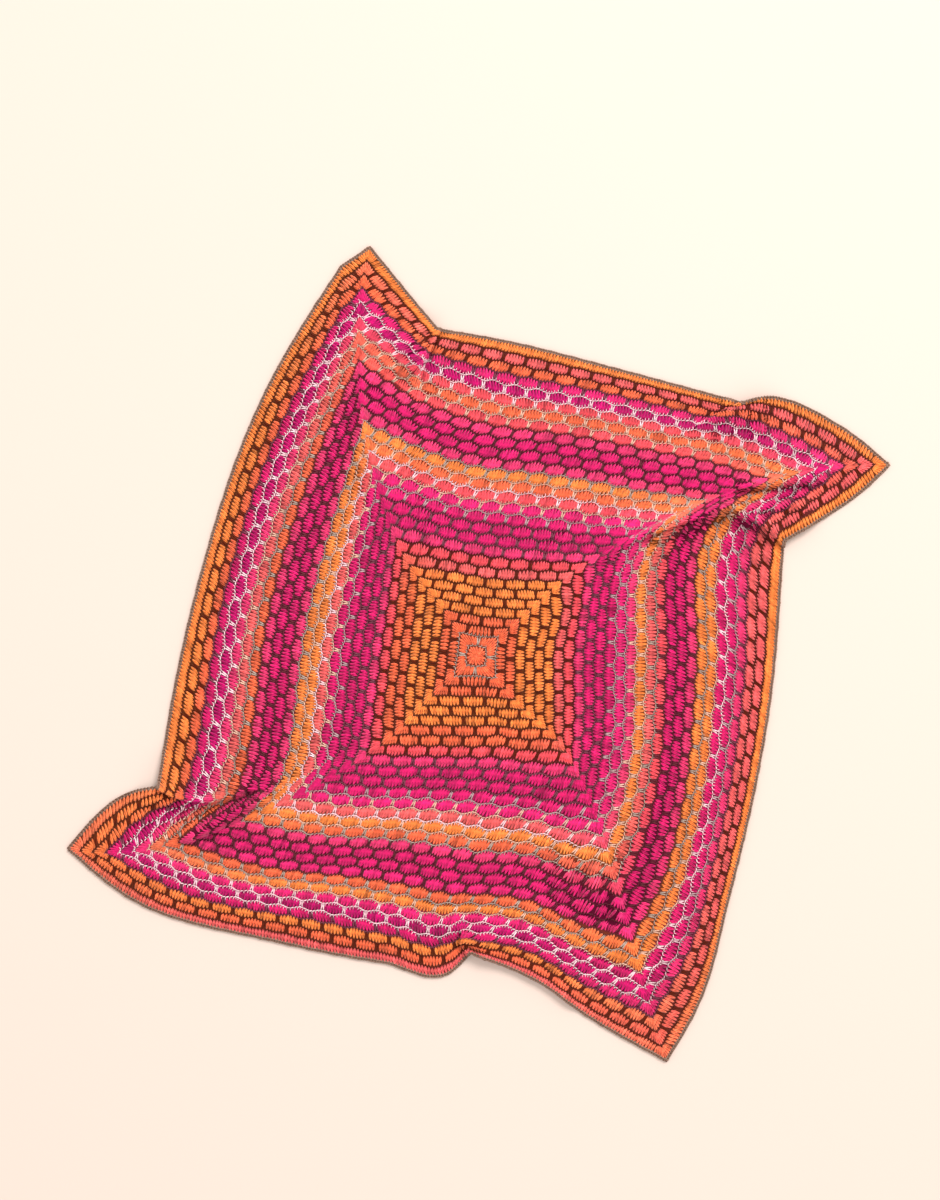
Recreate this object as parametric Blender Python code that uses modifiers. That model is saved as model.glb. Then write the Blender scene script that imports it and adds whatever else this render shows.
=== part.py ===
"""Crochet blanket, worked in one piece from the centre out and laid on a floor.

The cloth is a square of thirty rounds. It holds more yarn at its corners than a flat
square can, so the corners stand out as ears and the cloth folds over itself beside them.
A place in the cloth is a round, counted from the centre, and a turn, counted in sides
clockwise from the top left corner. Tables below say where each spoke of the cloth lies
and where it is pleated or raised. Lengths are millimetres until the mesh is made.
The frame has +X to the right, +Y up the cloth and +Z out of the floor.
"""

import math

import bmesh
import bpy
import numpy as np

# Driving sizes
MM = 0.001
THICKNESS = 3.0
ROUNDS = 30
BRICK_PITCH = 28.2
CORNER_LOSS = 16.4
YARN_RGB = (0.82, 0.10, 0.14)
YARN_ROUGHNESS = 0.9

# Spokes of the cloth: name, turn at round 10, turn at round 30, then where the spoke
# crosses rounds 10, 20 and 30. A sharp spoke is one where the rows turn a corner.
SPOKES = [
    # name, turn10, turn30, x10, y10, x20, y20, x30, y30, sharp
    ("top_left_tip", 0.000, 0.000, -95, 140, -139, 318, -128, 492, True),
    ("top_pleat_left", 0.175, 0.175, -55, 133, -74, 281, -47, 393, True),
    ("top_left", 0.340, 0.340, -18, 125, 6, 254, 53, 375, False),
    ("top_middle", 0.500, 0.500, 21, 119, 89, 244, 170, 345, False),
    ("top_pleat_right", 0.720, 0.720, 69, 115, 189, 227, 321, 304, True),
    ("top_swell", 0.770, 0.770, 80, 114, 212, 222, 352, 311, False),
    ("top_right", 0.900, 0.900, 110, 113, 268, 212, 439, 276, False),
    ("top_right_tip", 1.000, 1.000, 133, 112, 312, 200, 497, 230, True),
    ("right_ear", 1.040, 1.100, 131, 105, 289, 185, 449, 187, False),
    ("right_pleat", 1.080, 1.200, 130, 98, 267, 169, 370, 139, True),
    ("right_lead", 1.130, 1.260, 129, 83, 251, 139, 368, 112, False),
    ("right_middle", 1.450, 1.450, 118, 5, 242, -5, 355, -45, False),
    ("right_low", 1.750, 1.750, 118, -71, 228, -166, 305, -288, False),
    ("right_foot", 1.930, 1.930, 116, -113, 201, -260, 262, -431, False),
    ("bottom_right_tip", 2.000, 2.000, 116, -130, 178, -305, 229, -487, True),
    ("bottom_right_ear", 2.110, 2.110, 88, -129, 123, -291, 140, -437, False),
    ("bottom_right", 2.220, 2.220, 60, -127, 66, -268, 78, -393, False),
    ("bottom_pleat", 2.354, 2.354, 27, -122, -6, -262, -7, -356, True),
    ("bottom_jog", 2.380, 2.380, 22, -122, -19, -260, -25, -376, False),
    ("bottom_middle", 2.500, 2.500, -7, -122, -63, -252, -115, -368, False),
    ("bottom_left", 2.650, 2.650, -42, -121, -112, -245, -238, -344, False),
    ("bottom_foot", 2.870, 2.870, -98, -120, -240, -232, -412, -294, False),
    ("bottom_left_tip", 3.000, 3.000, -130, -118, -318, -212, -491, -232, True),
    ("left_ear", 3.060, 3.120, -128, -107, -294, -188, -416, -165, False),
    ("left_pleat", 3.100, 3.166, -126, -94, -264, -164, -381, -158, True),
    ("left_lead", 3.170, 3.230, -124, -76, -254, -134, -374, -106, False),
    ("left_middle", 3.450, 3.450, -115, -2, -229, 36, -335, 82, False),
    ("left_high", 3.750, 3.750, -104, 76, -185, 194, -252, 320, False),
    ("left_top", 3.955, 3.955, -97, 128, -148, 295, -162, 469, True),
]

# Pleats: the spoke each one lies on, the side that lies on top, the rounds where it starts
# and is full, its turn in degrees, the radius of its two turns, the run between them at
# the hem, and how far the side on top stays raised beside it.
PLEATS = [
    # spoke, on_top, start, full, turn, radius, run, spread
    ("top_pleat_left", 1, 22.0, 28.0, 180, 2.4, 5, 55),
    ("top_pleat_right", -1, 23.0, 29.0, 150, 2.4, 4, 60),
    ("right_pleat", 1, 11.5, 20.0, 180, 2.6, 10, 75),
    ("bottom_pleat", 1, 24.0, 28.5, 180, 2.4, 5, 60),
    ("left_pleat", -1, 19.0, 27.0, 120, 2.6, 4, 60),
]

# Soft ridges of the cloth, as it lies: start, end, height and half width.
RIDGES = [
    # name, x0, y0, x1, y1, height, half_width
    ("top_right_fold", 175, 138, 292, 190, 7, 34),
    ("top_right_mitre", 312, 204, 420, 226, 7, 26),
    ("top_right_flap", 322, 172, 395, 166, 5, 22),
    ("bottom_left_fold", -345, -203, -215, -130, 10, 26),
    ("bottom_left_hump", -392, -170, -345, -174, 8, 24),
    ("top_left_pinch", -133, 205, -137, 305, 5, 20),
    ("top_left_swell", -98, 400, -86, 350, 4, 30),
    ("bottom_right_wrinkle", 101, -240, 135, -310, 5, 16),
    ("bottom_right_wrinkle_two", 150, -252, 178, -335, 5, 16),
    ("bottom_right_crumple", 95, -322, 190, -365, 6, 24),
    ("bottom_bump", -60, -320, 55, -332, 5, 20),
    ("bottom_hem_lift", 15, -360, 105, -415, 8, 28),
    ("right_swell", 238, -165, 214, -270, 4, 18),
]

# Rounds that carry a ring of the mesh, how finely a pleat's turn is divided, and the
# spacing of the stations between pleats, at the hem.
MESH_ROUNDS = [8, 10, 11.5, 12.75, 14, 15.5, 17, 18.5, 20, 21.5, 23, 24.25, 25.5, 26.75, 28, 29, 30.2]
TURN_STEPS = 4
STATION_SPACING = 40.0
CURVE_STEPS = 16

# Flat cloth that a pleat's stations take on each side of it, full grown and before that,
# and how much wider a pleat's turns are where it starts.
FLAT_GROWN = 2.5
FLAT_BEFORE = 7.0
WIDE_START = 3.0

# Spokes are given at every tenth round, and run straight out of the centre up to here.
ROUND_STEP = 10.0
STRAIGHT_ROUNDS = 4.0


def smooth(value):
    """0 to 1 with a level start and end."""
    value = np.clip(value, 0.0, 1.0)
    return value * value * (3.0 - 2.0 * value)


def side_length(rounds):
    """Length of cloth along one side, after so many rounds."""
    return BRICK_PITCH * rounds - CORNER_LOSS


def spoke_turn(spoke, rounds):
    """The turn at which a spoke crosses a round."""
    return spoke[1] + (spoke[2] - spoke[1]) * (rounds - ROUND_STEP) / (2.0 * ROUND_STEP)


def spoke_point(spoke, rounds):
    """Where a spoke crosses a round: a cubic through the centre and its three places, and
    nearly straight near the centre."""
    t = rounds / ROUND_STEP
    first = t * (t - 2.0) * (t - 3.0) / 2.0
    second = -t * (t - 1.0) * (t - 3.0) / 2.0
    third = t * (t - 1.0) * (t - 2.0) / 6.0
    curved = np.array([first * spoke[3] + second * spoke[5] + third * spoke[7],
                       first * spoke[4] + second * spoke[6] + third * spoke[8]])
    straight = np.array([spoke[3], spoke[4]]) * t
    bent = smooth((rounds - STRAIGHT_ROUNDS) / (ROUND_STEP - STRAIGHT_ROUNDS))
    return straight + (curved - straight) * bent


def slopes(turns, points, sharp):
    """Slope of the round before and after each spoke. Sharp spokes bend, others don't."""
    count = len(turns)
    gap = [(turns[(i + 1) % count] - turns[i]) % 4.0 for i in range(count)]
    chord = [(points[(i + 1) % count] - points[i]) / gap[i] for i in range(count)]
    through = []
    for i in range(count):
        before = gap[i - 1]
        after = gap[i]
        through.append((chord[i - 1] * after + chord[i] * before) / (before + after))
    arriving = []
    leaving = []
    for i in range(count):
        follower = (i + 1) % count
        free_end = 1.5 * chord[i - 1] - 0.5 * (chord[i - 1] if sharp[i - 1] else through[i - 1])
        free_start = 1.5 * chord[i] - 0.5 * (chord[i] if sharp[follower] else through[follower])
        arriving.append(free_end if sharp[i] else through[i])
        leaving.append(free_start if sharp[i] else through[i])
    return gap, arriving, leaving


def round_path(rounds):
    """The closed line that a round follows on the floor, its length along it, and the
    length at each spoke."""
    turns = [spoke_turn(spoke, rounds) for spoke in SPOKES]
    points = [spoke_point(spoke, rounds) for spoke in SPOKES]
    sharp = [spoke[9] for spoke in SPOKES]
    gap, arriving, leaving = slopes(turns, points, sharp)
    t = np.arange(CURVE_STEPS) / CURVE_STEPS
    rows = []
    for i in range(len(SPOKES)):
        j = (i + 1) % len(SPOKES)
        start = np.outer(2 * t**3 - 3 * t**2 + 1, points[i])
        end = np.outer(3 * t**2 - 2 * t**3, points[j])
        out_of = np.outer(t**3 - 2 * t**2 + t, leaving[i] * gap[i])
        into = np.outer(t**3 - t**2, arriving[j] * gap[i])
        rows.append(start + end + out_of + into)
    line = np.vstack(rows + [rows[0][:1]])
    steps = np.hypot(*np.diff(line, axis=0).T)
    length = np.concatenate([[0.0], np.cumsum(steps)])
    return line, length, length[::CURVE_STEPS]


NO_PLEAT = (0.0, 1.0, 0.0, 0.0, 0.0, 0.0, 0.0)


def pleat_form(pleat, rounds):
    """Turn, radius, run, cloth taken up, way made, height and flat sides of a pleat."""
    if pleat is None:
        return NO_PLEAT
    grown = np.clip((rounds - pleat[2]) / (pleat[3] - pleat[2]), 0.0, 1.0)
    turn = math.radians(pleat[4]) * smooth(grown)
    radius = pleat[5] * (1.0 + WIDE_START * (1.0 - grown))
    run = pleat[6] * np.clip((rounds - pleat[2]) / (ROUNDS - pleat[2]), 0.0, 1.0)
    cloth = 2.0 * radius * turn + run
    way = 2.0 * radius * math.sin(turn) + run * math.cos(turn)
    height = 2.0 * radius * (1.0 - math.cos(turn)) + run * math.sin(turn)
    flat = FLAT_GROWN + (FLAT_BEFORE - FLAT_GROWN) * (1.0 - grown)
    return turn, radius, run, cloth, way, height, flat


def through_pleat(form, along):
    """Way made and height lost after a length of cloth into a pleat."""
    turn, radius, run, cloth, way, height, flat = form
    bend = radius * turn
    if along <= 0.0:
        return along, 0.0
    if along >= cloth:
        return way + along - cloth, height
    if along <= bend:
        angle = along / radius
        return radius * math.sin(angle), radius * (1.0 - math.cos(angle))
    if along >= bend + run:
        angle = (cloth - along) / radius
        return way - radius * math.sin(angle), height - radius * (1.0 - math.cos(angle))
    level = along - bend
    return (radius * math.sin(turn) + level * math.cos(turn),
            radius * (1.0 - math.cos(turn)) + level * math.sin(turn))


def ridge_height(x, y):
    """Height of the soft ridges at a place on the floor."""
    total = 0.0
    for name, x0, y0, x1, y1, height, half_width in RIDGES:
        run = np.array([x1 - x0, y1 - y0], float)
        place = np.clip(((x - x0) * run[0] + (y - y0) * run[1]) / run.dot(run), 0.0, 1.0)
        off = math.hypot(x - x0 - place * run[0], y - y0 - place * run[1]) / half_width
        if off < 1.0:
            total += height * (1.0 - off * off) ** 2
    return total


def anchor_list():
    """Corners and pleats, in order round the cloth: spoke index and pleat or None."""
    pleats = {pleat[0]: pleat for pleat in PLEATS}
    anchors = []
    for index, spoke in enumerate(SPOKES):
        if spoke[0] in pleats or spoke[0].endswith("_tip"):
            anchors.append((index, pleats.get(spoke[0])))
    return anchors


def ring_points(rounds, stations):
    """Points of the middle of the cloth along one round, one for each station."""
    line, length, at_spoke = round_path(rounds)
    whole = length[-1]
    side = side_length(rounds)
    anchors = anchor_list()
    turns = []
    marks = []
    forms = []
    for index, pleat in anchors:
        turns.append(spoke_turn(SPOKES[index], rounds))
        marks.append(at_spoke[index])
        forms.append(pleat_form(pleat, rounds))
    points = []
    for anchor, kind, share in stations:
        form = forms[anchor]
        turn_half = form[3] / side / 2.0
        if kind == "pleat":
            along = pleat_place(form, share)
            made, lost = through_pleat(form, along)
            mark = marks[anchor] - form[4] / 2.0 + made
            place = turns[anchor] - turn_half + along / side
            on_top = anchors[anchor][1][1]
            z = form[5] - lost if on_top > 0 else lost
            skip = anchor
        else:
            after = (anchor + 1) % len(anchors)
            ahead = forms[after]
            begin = turns[anchor] + turn_half + form[6] / side
            end = turns[after] + (4.0 if after == 0 else 0.0)
            end -= (ahead[3] / 2.0 + ahead[6]) / side
            mark_begin = marks[anchor] + form[4] / 2.0 + form[6]
            mark_end = marks[after] + (whole if after == 0 else 0.0) - ahead[4] / 2.0 - ahead[6]
            mark = mark_begin + (mark_end - mark_begin) * share
            place = begin + (end - begin) * share
            z = 0.0
            skip = None
        for other, (index, pleat) in enumerate(anchors):
            if pleat is None or other == skip:
                continue
            z += raised(pleat, forms[other], turns[other], place, side)
        mark = mark % whole
        x = np.interp(mark, length, line[:, 0])
        y = np.interp(mark, length, line[:, 1])
        points.append((x, y, THICKNESS / 2.0 + z + ridge_height(x, y)))
    return points


def raised(pleat, form, turn, place, side):
    """Height of the cloth beside a pleat, on the side that lies on top."""
    away = (place - turn + 2.0) % 4.0 - 2.0
    away = -away * pleat[1] * side - form[3] / 2.0
    if away < -1e-6:
        return 0.0
    return form[5] * (1.0 - smooth(away / pleat[7]))


def pleat_place(form, share):
    """Length of cloth into a pleat for a share of its stations: even steps in each turn."""
    turn, radius, run, cloth, way, height, flat = form
    bend = radius * turn
    step = share * (2 * TURN_STEPS + 1)
    spare = flat * (2.0 * share - 1.0)
    if step <= TURN_STEPS:
        return bend * step / TURN_STEPS + spare
    if step >= TURN_STEPS + 1:
        return bend + run + bend * (step - TURN_STEPS - 1) / TURN_STEPS + spare
    return bend + run * (step - TURN_STEPS) + spare


def make_stations():
    """The stations round the cloth: anchor, kind and share of the way."""
    anchors = anchor_list()
    stations = []
    for number, (index, pleat) in enumerate(anchors):
        if pleat:
            steps = 2 * TURN_STEPS + 1
            stations += [(number, "pleat", step / steps) for step in range(steps)]
        here = SPOKES[index][2]
        after = SPOKES[anchors[(number + 1) % len(anchors)][0]][2]
        span = (after - here) % 4.0 * side_length(ROUNDS)
        steps = max(2, round(span / STATION_SPACING))
        stations += [(number, "free", step / steps) for step in range(steps)]
    return stations


def make_cloth(collection):
    stations = make_stations()
    mesh = bpy.data.meshes.new("blanket")
    work = bmesh.new()
    rings = []
    for rounds in MESH_ROUNDS:
        ring = ring_points(rounds, stations)
        rings.append([work.verts.new([value * MM for value in point]) for point in ring])
    count = len(stations)
    work.faces.new(list(reversed(rings[0])))
    for inner, outer in zip(rings, rings[1:]):
        for i in range(count):
            j = (i + 1) % count
            work.faces.new((inner[i], inner[j], outer[j], outer[i]))
    bmesh.ops.recalc_face_normals(work, faces=work.faces)
    work.to_mesh(mesh)
    work.free()
    cloth = bpy.data.objects.new("blanket", mesh)
    collection.objects.link(cloth)
    shell = cloth.modifiers.new("thickness", "SOLIDIFY")
    shell.thickness = THICKNESS * MM
    shell.offset = 0.0
    shell.use_even_offset = True
    shell.use_quality_normals = True
    return cloth


def make_yarn():
    yarn = bpy.data.materials.new("yarn")
    yarn.use_nodes = True
    surface = yarn.node_tree.nodes["Principled BSDF"]
    surface.inputs["Base Color"].default_value = (*YARN_RGB, 1.0)
    surface.inputs["Roughness"].default_value = YARN_ROUGHNESS
    surface.inputs["Metallic"].default_value = 0.0
    return yarn


for old in list(bpy.data.objects):
    bpy.data.objects.remove(old, do_unlink=True)

group = bpy.data.collections.new("crochet_blanket")
bpy.context.scene.collection.children.link(group)
blanket = make_cloth(group)
blanket.data.materials.append(make_yarn())
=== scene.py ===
import math

import bpy
import numpy as np
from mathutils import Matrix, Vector


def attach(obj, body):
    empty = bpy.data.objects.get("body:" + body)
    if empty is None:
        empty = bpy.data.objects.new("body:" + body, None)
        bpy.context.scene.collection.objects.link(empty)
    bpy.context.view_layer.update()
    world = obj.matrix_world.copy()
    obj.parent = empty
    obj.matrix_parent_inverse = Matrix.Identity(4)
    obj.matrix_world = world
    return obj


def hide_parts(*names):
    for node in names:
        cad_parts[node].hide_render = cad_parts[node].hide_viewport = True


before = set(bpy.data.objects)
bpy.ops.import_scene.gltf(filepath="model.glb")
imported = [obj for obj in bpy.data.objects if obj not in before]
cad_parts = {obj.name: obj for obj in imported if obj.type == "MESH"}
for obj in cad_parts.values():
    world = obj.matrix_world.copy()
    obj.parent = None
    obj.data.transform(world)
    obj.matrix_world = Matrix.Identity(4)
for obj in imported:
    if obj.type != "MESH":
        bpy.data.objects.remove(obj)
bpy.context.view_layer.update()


# Studio: the blanket lies on a cream paper floor and is seen from straight above. One wide
# soft light stands at the upper right, and a pale room fills the shadows.
CAMERA_HEIGHT = 2.6
CAMERA_OVER = (-0.0072, 0.0675)
FLOOR_SEEN = 1.447
SENSOR = 36.0
NEAREST_SEEN = 0.05
FLOOR_HALF = 9.0
PAPER = (0.64, 0.525, 0.472)
PAPER_ROUGHNESS = 0.95
PAPER_SHEEN = 0.1
LIGHT_AT = (1.75, 2.7, 3.85)
LIGHT_SIZE = 2.0
LIGHT_POWER = 206.0
LIGHT_COLOUR = (1.0, 0.97, 0.93)
ROOM_COLOUR = (1.0, 0.965, 0.92)
ROOM_STRENGTH = 1.22


def make_camera():
    camera = bpy.data.objects.new("camera", bpy.data.cameras.new("camera"))
    bpy.context.scene.collection.objects.link(camera)
    camera.data.sensor_width = SENSOR
    camera.data.lens = SENSOR * CAMERA_HEIGHT / FLOOR_SEEN
    camera.location = (*CAMERA_OVER, CAMERA_HEIGHT)
    camera.data.clip_start = NEAREST_SEEN
    bpy.context.scene.camera = camera


def make_light():
    lamp = bpy.data.lights.new("soft_light", "AREA")
    lamp.size = LIGHT_SIZE
    lamp.energy = LIGHT_POWER
    lamp.color = LIGHT_COLOUR
    light = bpy.data.objects.new("soft_light", lamp)
    light.location = LIGHT_AT
    light.rotation_mode = "QUATERNION"
    light.rotation_quaternion = Vector(LIGHT_AT).to_track_quat("Z", "Y")
    bpy.context.scene.collection.objects.link(light)
    room = bpy.data.worlds.new("room")
    room.use_nodes = True
    pale = room.node_tree.nodes["Background"]
    pale.inputs["Color"].default_value = (*ROOM_COLOUR, 1.0)
    pale.inputs["Strength"].default_value = ROOM_STRENGTH
    bpy.context.scene.world = room
    bpy.context.scene.view_settings.view_transform = "Standard"


def make_floor():
    corners = [(-FLOOR_HALF, -FLOOR_HALF, 0), (FLOOR_HALF, -FLOOR_HALF, 0),
               (FLOOR_HALF, FLOOR_HALF, 0), (-FLOOR_HALF, FLOOR_HALF, 0)]
    mesh = bpy.data.meshes.new("paper_floor")
    mesh.from_pydata(corners, [], [(0, 1, 2, 3)])
    floor = bpy.data.objects.new("paper_floor", mesh)
    bpy.context.scene.collection.objects.link(floor)
    paper = bpy.data.materials.new("cream_paper")
    paper.use_nodes = True
    surface = paper.node_tree.nodes["Principled BSDF"]
    surface.inputs["Base Color"].default_value = (*PAPER, 1.0)
    surface.inputs["Roughness"].default_value = PAPER_ROUGHNESS
    surface.inputs["Specular IOR Level"].default_value = PAPER_SHEEN
    mesh.materials.append(paper)


make_camera()
make_light()
make_floor()


# The lie of the cloth: thirty rounds worked from the centre out, with more stitches at the
# corners than a flat square can hold, so the corners stand out as ears and the cloth folds
# over beside them. A place in it is a round and a turn, in sides clockwise from the top left.
MM = 0.001
THICKNESS = 3.0
ROUNDS = 30
BRICK_PITCH = 28.2
CORNER_LOSS = 16.4
ROUND_TALL = 12.0
SPOKES = [
    # name, turn10, turn30, x10, y10, x20, y20, x30, y30, sharp
    ("top_left_tip", 0.000, 0.000, -95, 140, -139, 318, -128, 492, True),
    ("top_pleat_left", 0.175, 0.175, -55, 133, -74, 281, -47, 393, True),
    ("top_left", 0.340, 0.340, -18, 125, 6, 254, 53, 375, False),
    ("top_middle", 0.500, 0.500, 21, 119, 89, 244, 170, 345, False),
    ("top_pleat_right", 0.720, 0.720, 69, 115, 189, 227, 321, 304, True),
    ("top_swell", 0.770, 0.770, 80, 114, 212, 222, 352, 311, False),
    ("top_right", 0.900, 0.900, 110, 113, 268, 212, 439, 276, False),
    ("top_right_tip", 1.000, 1.000, 133, 112, 312, 200, 497, 230, True),
    ("right_ear", 1.040, 1.100, 131, 105, 289, 185, 449, 187, False),
    ("right_pleat", 1.080, 1.200, 130, 98, 267, 169, 370, 139, True),
    ("right_lead", 1.130, 1.260, 129, 83, 251, 139, 368, 112, False),
    ("right_middle", 1.450, 1.450, 118, 5, 242, -5, 355, -45, False),
    ("right_low", 1.750, 1.750, 118, -71, 228, -166, 305, -288, False),
    ("right_foot", 1.930, 1.930, 116, -113, 201, -260, 262, -431, False),
    ("bottom_right_tip", 2.000, 2.000, 116, -130, 178, -305, 229, -487, True),
    ("bottom_right_ear", 2.110, 2.110, 88, -129, 123, -291, 140, -437, False),
    ("bottom_right", 2.220, 2.220, 60, -127, 66, -268, 78, -393, False),
    ("bottom_pleat", 2.354, 2.354, 27, -122, -6, -262, -7, -356, True),
    ("bottom_jog", 2.380, 2.380, 22, -122, -19, -260, -25, -376, False),
    ("bottom_middle", 2.500, 2.500, -7, -122, -63, -252, -115, -368, False),
    ("bottom_left", 2.650, 2.650, -42, -121, -112, -245, -238, -344, False),
    ("bottom_foot", 2.870, 2.870, -98, -120, -240, -232, -412, -294, False),
    ("bottom_left_tip", 3.000, 3.000, -130, -118, -318, -212, -491, -232, True),
    ("left_ear", 3.060, 3.120, -128, -107, -294, -188, -416, -165, False),
    ("left_pleat", 3.100, 3.166, -126, -94, -264, -164, -381, -158, True),
    ("left_lead", 3.170, 3.230, -124, -76, -254, -134, -374, -106, False),
    ("left_middle", 3.450, 3.450, -115, -2, -229, 36, -335, 82, False),
    ("left_high", 3.750, 3.750, -104, 76, -185, 194, -252, 320, False),
    ("left_top", 3.955, 3.955, -97, 128, -148, 295, -162, 469, True),
]
PLEATS = [
    # spoke, on_top, start, full, turn, radius, run, spread
    ("top_pleat_left", 1, 22.0, 28.0, 180, 2.4, 5, 55),
    ("top_pleat_right", -1, 23.0, 29.0, 150, 2.4, 4, 60),
    ("right_pleat", 1, 11.5, 20.0, 180, 2.6, 10, 75),
    ("bottom_pleat", 1, 24.0, 28.5, 180, 2.4, 5, 60),
    ("left_pleat", -1, 19.0, 27.0, 120, 2.6, 4, 60),
]
RIDGES = [
    # name, x0, y0, x1, y1, height, half_width
    ("top_right_fold", 175, 138, 292, 190, 7, 34),
    ("top_right_mitre", 312, 204, 420, 226, 7, 26),
    ("top_right_flap", 322, 172, 395, 166, 5, 22),
    ("bottom_left_fold", -345, -203, -215, -130, 10, 26),
    ("bottom_left_hump", -392, -170, -345, -174, 8, 24),
    ("top_left_pinch", -133, 205, -137, 305, 5, 20),
    ("top_left_swell", -98, 400, -86, 350, 4, 30),
    ("bottom_right_wrinkle", 101, -240, 135, -310, 5, 16),
    ("bottom_right_wrinkle_two", 150, -252, 178, -335, 5, 16),
    ("bottom_right_crumple", 95, -322, 190, -365, 6, 24),
    ("bottom_bump", -60, -320, 55, -332, 5, 20),
    ("bottom_hem_lift", 15, -360, 105, -415, 6, 28),
    ("right_swell", 238, -165, 214, -270, 4, 18),
]
# Sharper creases on top of the ridges. Those with a height below 0 are
# valleys.
CREASES = [
    # x0, y0, x1, y1, height, half_width
    (318, 192, 396, 199, -12, 10),
    (325, 206, 400, 213, 11, 11),
    (330, 179, 392, 184, 12, 11),
    (220, 144, 300, 180, 12, 11),
    (232, 131, 306, 164, -11, 10),
    (308, 181, 357, 149, 9, 11),
    (306, 164, 344, 134, -8, 10),
    (-392, -187, -329, -188, -11, 10),
    (-329, -188, -272, -167, -9, 10),
    (-347, -218, -312, -200, 11, 11),
    (-312, -200, -255, -170, 11, 11),
    (-336, -231, -284, -210, -10, 10),
    (124, -250, 120, -288, -7, 10),
    (156, -268, 150, -322, -8, 10),
    (139, -260, 138, -302, 8, 12),
    (173, -256, 168, -308, 8, 12),
    (106, -262, 98, -300, 6, 13),
    (-54, 394, -68, 343, -5, 9),
    (-68, 390, -86, 340, 6, 12),
    (-40, 376, -52, 335, 5, 12),
    (322, 304, 317, 268, -4, 11),
    (306, 304, 298, 268, 5, 12),
    (338, 308, 340, 272, 5, 12),
    (-137, 320, -139, 210, 3, 11),
]
# How far along the hem each pleat moves from its spoke, and how much more cloth than the fold
# itself holds is gathered inside it there.
GATHERS = {
    # spoke: moved, gathered
    "top_pleat_left": (0.043, 60.0),
    "top_pleat_right": (0.048, 12.0),
    "left_pleat": (0.0, 40.0),
}
FLAT_GROWN = 2.5
FLAT_BEFORE = 7.0
WIDE_START = 3.0
ROUND_STEP = 10.0
STRAIGHT_ROUNDS = 4.0
FLAT_FROM_ROUND = 8.0
RING_ROUNDS = 2.0
CURVE_STEPS = 16


def smooth(value):
    """0 to 1 with a level start and end."""
    value = np.clip(value, 0.0, 1.0)
    return value * value * (3.0 - 2.0 * value)


def side_length(rounds):
    """Length of cloth along one side, after so many rounds."""
    return np.maximum(BRICK_PITCH * rounds - CORNER_LOSS, (BRICK_PITCH - CORNER_LOSS) * rounds)


def spoke_turn(spoke, rounds):
    """The turn of a spoke in the cloth at a round."""
    turn10, turn30 = spoke[1:3]
    return turn10 + (turn30 - turn10) * (rounds - ROUND_STEP) / (2.0 * ROUND_STEP)


def spoke_point(spoke, rounds):
    """Where a spoke crosses a round."""
    x10, y10, x20, y20, x30, y30 = spoke[3:9]
    t = rounds / ROUND_STEP
    first = t * (t - 2.0) * (t - 3.0) / 2.0
    second = -t * (t - 1.0) * (t - 3.0) / 2.0
    third = t * (t - 1.0) * (t - 2.0) / 6.0
    curved = np.array([first * x10 + second * x20 + third * x30,
                       first * y10 + second * y20 + third * y30])
    straight = np.array([x10, y10]) * t
    bent = smooth((rounds - STRAIGHT_ROUNDS) / (ROUND_STEP - STRAIGHT_ROUNDS))
    return straight + (curved - straight) * bent


def slopes(turns, points, sharp):
    """Slope of the round before and after each spoke. Sharp spokes bend, others don't."""
    count = len(turns)
    gap = [(turns[(i + 1) % count] - turns[i]) % 4.0 for i in range(count)]
    chord = [(points[(i + 1) % count] - points[i]) / gap[i] for i in range(count)]
    through = [(chord[i - 1] * gap[i] + chord[i] * gap[i - 1]) / (gap[i - 1] + gap[i])
               for i in range(count)]
    arriving = []
    leaving = []
    for i in range(count):
        j = (i + 1) % count
        free_end = 1.5 * chord[i - 1] - 0.5 * (chord[i - 1] if sharp[i - 1] else through[i - 1])
        free_start = 1.5 * chord[i] - 0.5 * (chord[i] if sharp[j] else through[j])
        arriving.append(free_end if sharp[i] else through[i])
        leaving.append(free_start if sharp[i] else through[i])
    return gap, arriving, leaving


def round_path(rounds):
    """The closed line that a round follows on the floor, its length along it, and the
    length at each spoke."""
    turns = [spoke_turn(spoke, rounds) for spoke in SPOKES]
    points = [spoke_point(spoke, rounds) for spoke in SPOKES]
    gap, arriving, leaving = slopes(turns, points, [spoke[-1] for spoke in SPOKES])
    t = np.arange(CURVE_STEPS) / CURVE_STEPS
    rows = []
    for i in range(len(SPOKES)):
        j = (i + 1) % len(SPOKES)
        rows.append(np.outer(2 * t**3 - 3 * t**2 + 1, points[i])
                    + np.outer(3 * t**2 - 2 * t**3, points[j])
                    + np.outer(t**3 - 2 * t**2 + t, leaving[i] * gap[i])
                    + np.outer(t**3 - t**2, arriving[j] * gap[i]))
    line = np.vstack(rows + [rows[0][:1]])
    steps = np.hypot(*np.diff(line, axis=0).T)
    length = np.concatenate([[0.0], np.cumsum(steps)])
    return line, length, length[::CURVE_STEPS]


def pleat_form(pleat, rounds):
    """Turn, radius, run, cloth taken up, way made, height and flat sides of a pleat."""
    start, full, full_turn, full_radius, full_run = pleat[2:7]
    grown = np.clip((rounds - start) / (full - start), 0.0, 1.0)
    turn = math.radians(full_turn) * smooth(grown)
    radius = full_radius * (1.0 + WIDE_START * (1.0 - grown))
    run = full_run * np.clip((rounds - start) / (ROUNDS - start), 0.0, 1.0)
    cloth = 2.0 * radius * turn + run
    way = 2.0 * radius * math.sin(turn) + run * math.cos(turn)
    height = 2.0 * radius * (1.0 - math.cos(turn)) + run * math.sin(turn)
    flat = FLAT_GROWN + (FLAT_BEFORE - FLAT_GROWN) * (1.0 - grown)
    return turn, radius, run, cloth, way, height, flat * min(1.0, rounds / FLAT_FROM_ROUND) ** 2


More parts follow.
